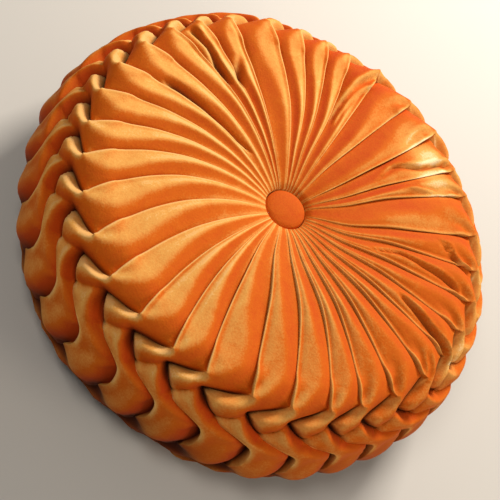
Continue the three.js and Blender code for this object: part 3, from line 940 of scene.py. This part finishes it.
def covered_button(name, way_up):
    bm = bmesh.new()
    verts = [bm.verts.new((radius * MM, 0, level * MM)) for radius, level in BUTTON_PROFILE]
    edges = [bm.edges.new(pair) for pair in zip(verts, verts[1:])]
    bmesh.ops.spin(
        bm, geom=verts + edges, axis=(0, 0, 1), cent=(0, 0, 0),
        angle=math.tau, steps=BUTTON_STEPS, use_merge=True,
    )
    bmesh.ops.remove_doubles(bm, verts=bm.verts, dist=1e-6)
    if way_up < 0:
        bmesh.ops.rotate(bm, verts=bm.verts, matrix=Matrix.Rotation(math.pi, 3, "X"))
    bmesh.ops.translate(bm, verts=bm.verts, vec=Vector((*BUTTONS_AT, HALF_THICKNESS)) * MM)
    bmesh.ops.recalc_face_normals(bm, faces=bm.faces)
    return finish_mesh(bm, name)


button_front = covered_button("velvet_button_front", 1)
button_back = covered_button("velvet_button_back", -1)
print("a button has", len(button_front.data.polygons), "faces")

# %% [markdown]
# Materials are made of nodes. A node takes its fixed values and its links by the names of its
# sockets, and colours are written as they look on a screen and turned into linear light.

# %% Helpers for materials


def linear(hex_colour):
    """An sRGB hex colour as linear light, with alpha."""
    parts = [int(hex_colour[i:i + 2], 16) / 255 for i in (1, 3, 5)]
    return tuple(c / 12.92 if c <= 0.04045 else ((c + 0.055) / 1.055) ** 2.4 for c in parts) + (1,)


def socket_for(node, name):
    """The enabled input of that name, as a node that mixes has one for each kind of value."""
    if isinstance(name, int):
        return node.inputs[name]
    return next(socket for socket in node.inputs if socket.name == name and socket.enabled)


def socket_out(node):
    return next(socket for socket in node.outputs if socket.enabled)


def add_node(tree, kind, links=None, values=None, **settings):
    """A new node with its settings, the fixed values of its inputs and the links into them."""
    node = tree.nodes.new(kind)
    for name, value in settings.items():
        setattr(node, name, value)
    for name, value in (values or {}).items():
        socket_for(node, name).default_value = value
    for name, source in (links or {}).items():
        tree.links.new(source, socket_for(node, name))
    return node


print("orange in linear light is", [round(part, 3) for part in linear("#FF8000")])

# %% [markdown]
# Velvet is a woven ground with a short dense pile. Where the pile leans towards the eye it looks deep
# and saturated; where it leans away or splays over a fold it catches light and turns pale gold. That
# sheen is painted into the colour: a sheen level is summed up from the readings, soft brush marks and
# fine specks, and a ramp turns the sum into a colour, up to the pale of painted highlights. The
# painted shade of the creases goes on top of it.

# %% Velvet
DEEP = "#BC4206"
WARM = "#CA610C"
GOLD = "#E0A250"
# The pale colour of the painted lustre and painted highlights.
PAINTED_LUSTRE = "#FFE6B4"
# SHADE is the painted shade colour that the crease reading mixes in.
SHADE = "#3E1003"
SHEEN = "#FFB866"
# Ramp from deep orange through the gold of painted sheen to the pale of painted lustre.
COLOUR_STOPS = ((0.08, DEEP), (0.385, WARM), (0.73, GOLD), (1, PAINTED_LUSTRE))
SPLAY_HIGHLIGHT_OVER = 0.9
MATT_MOST = 1
PAINTED_LUSTRE_OVER = 1.6
SHEEN_LEVEL_LEAST = -1
SHEEN_LEVEL_MOST = 1.6
PILE_SPECK_MM = 1.4
SPECK_OVER = 0.15
BRUSH_MARK_MM = 14
BRUSH_OVER = 0.17
BUTTON_NAP = -0.35


def painted_sheen_level(tree, brush, speck, nap):
    """The painted sheen level, from -1 towards the eye to SHEEN_LEVEL_MOST in full painted lustre."""
    pile_sheen, splay_highlight, painted_lustre = (
        add_node(tree, "ShaderNodeAttribute", attribute_name=name).outputs["Fac"]
        for name in ("pile_sheen", "splay_highlight", "painted_lustre")
    )
    brushed_sheen = add_node(tree, "ShaderNodeMapRange", {"Value": brush}, {
        "From Min": 0.25, "From Max": 0.75, "To Min": -BRUSH_OVER, "To Max": BRUSH_OVER,
    })
    specked = add_node(tree, "ShaderNodeMapRange", {"Value": speck}, {
        "From Min": 0.3, "From Max": 0.7, "To Min": -SPECK_OVER, "To Max": SPECK_OVER,
    })
    # The splay reading adds its painted highlight to the sheen level.
    opened_highlight = add_node(tree, "ShaderNodeMath", {0: splay_highlight}, {1: SPLAY_HIGHLIGHT_OVER}, operation="MULTIPLY")
    sheen_level = add_node(tree, "ShaderNodeMath", {0: pile_sheen}, {1: nap}, operation="ADD")
    for more in (brushed_sheen, specked, opened_highlight):
        links = {0: sheen_level.outputs[0], 1: socket_out(more)}
        sheen_level = add_node(tree, "ShaderNodeMath", links, operation="ADD")
    matt = add_node(
        tree, "ShaderNodeMath", {0: sheen_level.outputs[0]}, {1: MATT_MOST}, operation="MINIMUM")
    # The painted lustre lifts the colour to the pale of a painted highlight.
    shine = add_node(tree, "ShaderNodeMath", {0: painted_lustre}, {1: PAINTED_LUSTRE_OVER}, operation="MULTIPLY")
    links = {0: matt.outputs[0], 1: shine.outputs[0]}
    return add_node(tree, "ShaderNodeMath", links, operation="ADD").outputs[0]


def velvet_colour(tree, sheen_level):
    level = add_node(tree, "ShaderNodeMapRange", {"Value": sheen_level}, {
        "From Min": SHEEN_LEVEL_LEAST, "From Max": SHEEN_LEVEL_MOST, "To Min": 0, "To Max": 1,
    })
    ramp = add_node(tree, "ShaderNodeValToRGB", {"Fac": socket_out(level)})
    stops = ramp.color_ramp.elements
    stops[0].position = COLOUR_STOPS[0][0]
    stops[1].position = COLOUR_STOPS[-1][0]
    for position, _ in COLOUR_STOPS[1:-1]:
        stops.new(position)
    for stop, (_, colour) in zip(stops, COLOUR_STOPS):
        stop.color = linear(colour)
    # Painted shade: the crease reading mixes the colour towards SHADE.
    crease = add_node(tree, "ShaderNodeAttribute", attribute_name="crease").outputs["Fac"]
    return socket_out(add_node(tree, "ShaderNodeMix", {
        "Factor": crease, "A": ramp.outputs["Color"],
    }, {"B": linear(SHADE)}, data_type="RGBA"))


def velvet(name, nap):
    """Velvet whose painted sheen level is raised by nap, all of it where the mesh says nothing."""
    material = bpy.data.materials.new(name)
    material.use_nodes = True
    tree = material.node_tree
    tree.nodes.clear()
    place = add_node(tree, "ShaderNodeTexCoord").outputs["Object"]
    brush = add_node(tree, "ShaderNodeTexNoise", {"Vector": place}, {
        "Scale": 1 / (BRUSH_MARK_MM * MM), "Detail": 3, "Roughness": 0.55, "Distortion": 0.6,
    }).outputs["Fac"]
    speck = add_node(tree, "ShaderNodeTexNoise", {"Vector": place}, {
        "Scale": 1 / (PILE_SPECK_MM * MM), "Detail": 2, "Roughness": 0.6,
    }).outputs["Fac"]
    fine_bump = add_node(
        tree, "ShaderNodeBump", {"Height": speck}, {"Strength": 0.35, "Distance": 0.0006})
    soft_bump = add_node(tree, "ShaderNodeBump", {
        "Height": brush, "Normal": fine_bump.outputs["Normal"],
    }, {"Strength": 0.25, "Distance": 0.002})
    shader = add_node(tree, "ShaderNodeBsdfPrincipled", {
        "Base Color": velvet_colour(tree, painted_sheen_level(tree, brush, speck, nap)),
        "Normal": soft_bump.outputs["Normal"],
    }, {
        "Roughness": 0.78, "Sheen Weight": 0.07, "Sheen Roughness": 0.35,
        "Sheen Tint": linear(SHEEN), "Specular IOR Level": 0.12,
    })
    add_node(tree, "ShaderNodeOutputMaterial", {"Surface": shader.outputs["BSDF"]})
    return material


cover.data.materials.append(velvet("gathered_velvet", 0))
button_velvet = velvet("stretched_velvet", BUTTON_NAP)
for piece in (button_front, button_back):
    piece.data.materials.append(button_velvet)
print("velvet has", len(button_velvet.node_tree.nodes), "nodes")

# %% [markdown]
# The pieces replace their solids and ride with the one rigid body.

# %% Tie the pieces to the fixed model
for piece, node, slot in (
    (cover, "cover", "velvet_cover"),
    (button_front, "button_front", "velvet_button"),
    (button_back, "button_back", "velvet_button"),
):
    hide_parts(node)
    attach(piece, "root")
    print(piece.name, "takes the place of", node)

# %% [markdown]
# A plain pale floor and soft studio light, in metres. As the camera sees it, the key lamp is high
# beyond the cushion on the right, a weak one hangs high over the near side, and a weak low one
# stands on the near right. The surround is an even pale grey.

# %% Floor and light
FLOOR_SIZE = 3
LAMPS_AIM = (0, 0, 0.06)
LAMPS = (
    {"name": "key", "place": (0.7, 0.8, 0.9), "size": 0.45, "power": 25, "colour": "#FFF6EC"},
    {"name": "fill", "place": (-0.7, -0.2, 1.5), "size": 0.45, "power": 8, "colour": "#FFF8F0"},
    {"name": "side", "place": (1, -1, 0.6), "size": 0.6, "power": 8, "colour": "#FFF0DC"},
)

floor_bm = bmesh.new()
bmesh.ops.create_grid(floor_bm, x_segments=1, y_segments=1, size=FLOOR_SIZE)
floor = finish_mesh(floor_bm, "floor")
floor_material = bpy.data.materials.new("matt_paper_floor")
floor_material.use_nodes = True
paper = floor_material.node_tree.nodes["Principled BSDF"].inputs
paper["Base Color"].default_value = linear("#C6C3BC")
paper["Roughness"].default_value = 0.9
floor.data.materials.append(floor_material)

for row in LAMPS:
    lamp_data = bpy.data.lights.new(row["name"], "AREA")
    lamp_data.size = row["size"]
    lamp_data.energy = row["power"]
    lamp_data.color = linear(row["colour"])[:3]
    lamp = bpy.data.objects.new(row["name"], lamp_data)
    lamp.location = row["place"]
    aim = Vector(LAMPS_AIM) - Vector(row["place"])
    lamp.rotation_euler = aim.to_track_quat("-Z", "Y").to_euler()
    bpy.context.collection.objects.link(lamp)

world = bpy.data.worlds.new("studio")
world.use_nodes = True
surround = world.node_tree.nodes["Background"].inputs
surround["Color"].default_value = linear("#E8E8EA")
surround["Strength"].default_value = 0.18
bpy.context.scene.world = world
bpy.context.scene.view_settings.view_transform = "Standard"
print(len(LAMPS), "lamps over a floor of", 2 * FLOOR_SIZE, "m")
